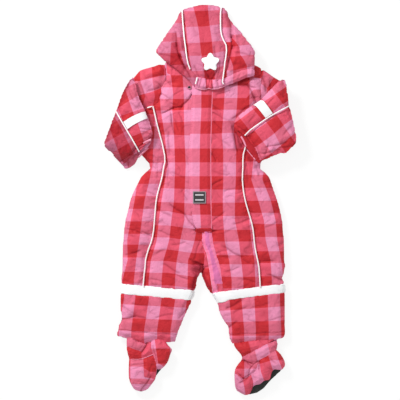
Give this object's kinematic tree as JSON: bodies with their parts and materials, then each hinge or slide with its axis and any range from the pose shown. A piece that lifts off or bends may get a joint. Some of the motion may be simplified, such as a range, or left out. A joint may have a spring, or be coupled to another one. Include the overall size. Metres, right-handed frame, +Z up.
{
  "type": "baby snowsuit",
  "caption": "Padded baby snowsuit in check fabric, laid flat on its back with the hood up, sleeves folded over the front, reflective knee bands and soft booties at the ankles.",
  "frame": {"origin": "centre of the bounding box, at the surface that the suit lies on", "axes": "+X towards the wearer's left side, +Y towards the hood, +Z up from the surface"},
  "size_m": [0.4317, 0.8732, 0.0457],
  "materials": {
    "check": "matt woven check shell, padded",
    "check_back": "matt woven check shell, padded, hidden side",
    "tape": "reflective tape",
    "piping": "white piping",
    "gusset": "matt woven plain shell, padded",
    "sole": "dark non-slip fabric",
    "badge": "soft moulded badge",
    "zip": "coil zip tape",
    "stud": "satin press stud"
  },
  "bodies": {
    "root": {"back_left": "check_back", "back_right": "check_back", "badge": "badge", "bootie_ankle_left": "check", "bootie_cuff_right": "check", "bootie_heel_left": "check", "bootie_heel_right": "check", "bootie_instep_left": "check", "bootie_instep_right": "check", "bootie_sole_left": "sole", "bootie_sole_right": "sole", "bootie_strap_left": "check", "bootie_toe_left": "check", "bootie_toe_right": "check", "bootie_under_left": "check_back", "bootie_under_right": "check_back", "brim_piping_right": "piping", "forearm_inner_left": "check", "forearm_inner_right": "check", "forearm_outer_left": "check", "forearm_outer_right": "check", "forearm_under_left": "check_back", "forearm_under_right": "check_back", "front_left": "check", "front_right": "check", "gusset_left": "gusset", "hood_back": "check_back", "hood_band_left": "check", "hood_brim": "check", "hood_centre": "check", "hood_motif": "tape", "hood_piping_left": "piping", "hood_piping_right": "piping", "hood_side_left": "check", "hood_side_right": "check", "knee_band_left": "tape", "knee_band_right": "tape", "press_stud": "stud", "shin_left": "check", "shin_right": "check", "side_left": "check", "side_piping_left": "piping", "side_piping_right": "piping", "side_right": "check", "sleeve_piping_left": "piping", "sleeve_piping_right": "piping", "sleeve_tape_left": "tape", "sleeve_tape_right": "tape", "upper_sleeve_left": "check", "upper_sleeve_right": "check", "zip": "zip", "zip_flap": "check"}
  },
  "joints": []
}
